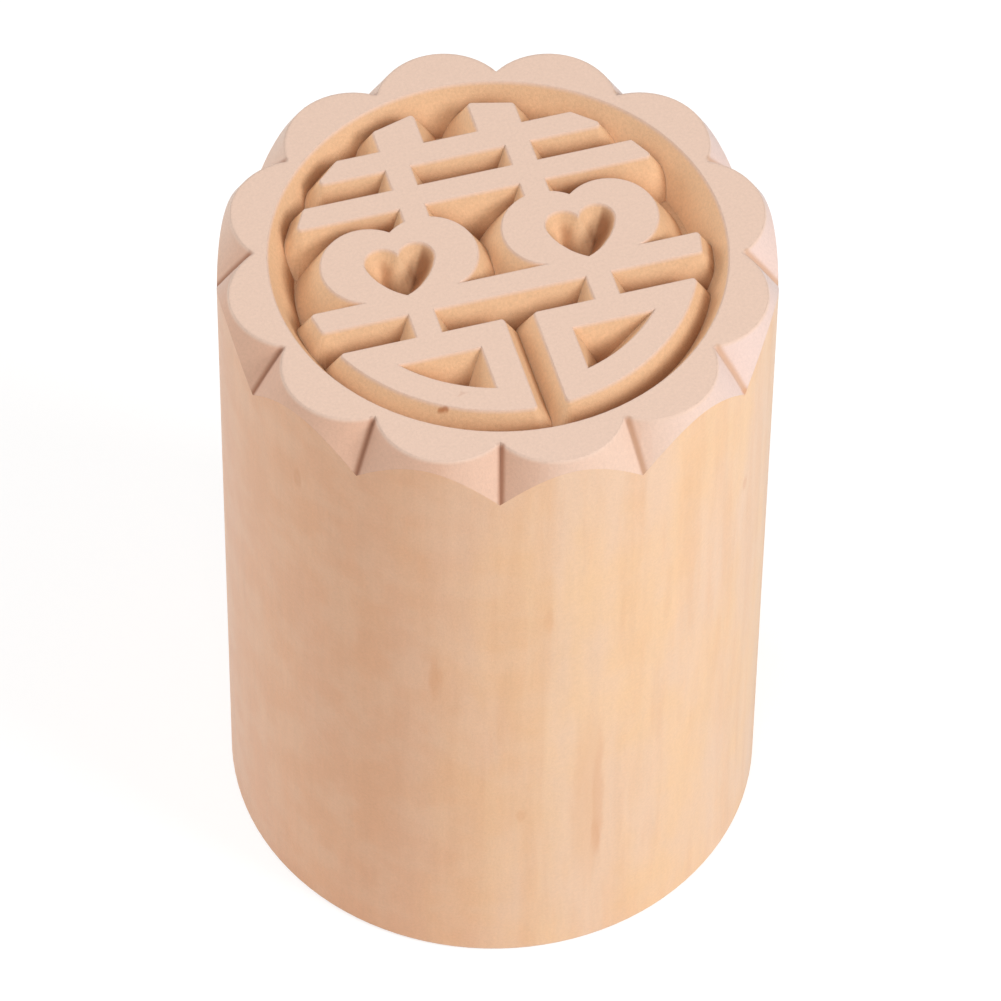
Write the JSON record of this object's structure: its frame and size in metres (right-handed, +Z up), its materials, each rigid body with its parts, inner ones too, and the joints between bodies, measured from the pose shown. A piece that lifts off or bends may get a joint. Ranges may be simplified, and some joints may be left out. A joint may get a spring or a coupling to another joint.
{
  "type": "cookie mold",
  "caption": "Round wooden hand mold for cookies: a solid cylinder whose petal-edged top face has a shallow recess with a carved wedding ornament.",
  "frame": {"origin": "middle of the flat base that the mold stands on", "axes": "+Z up along the turned axis to the carved face, +Y to the upper side of the ornament"},
  "size_m": [0.035, 0.035, 0.05],
  "materials": {
    "mold": "unvarnished, fine sanded"
  },
  "bodies": {
    "root": {"mold": "mold"}
  },
  "joints": []
}
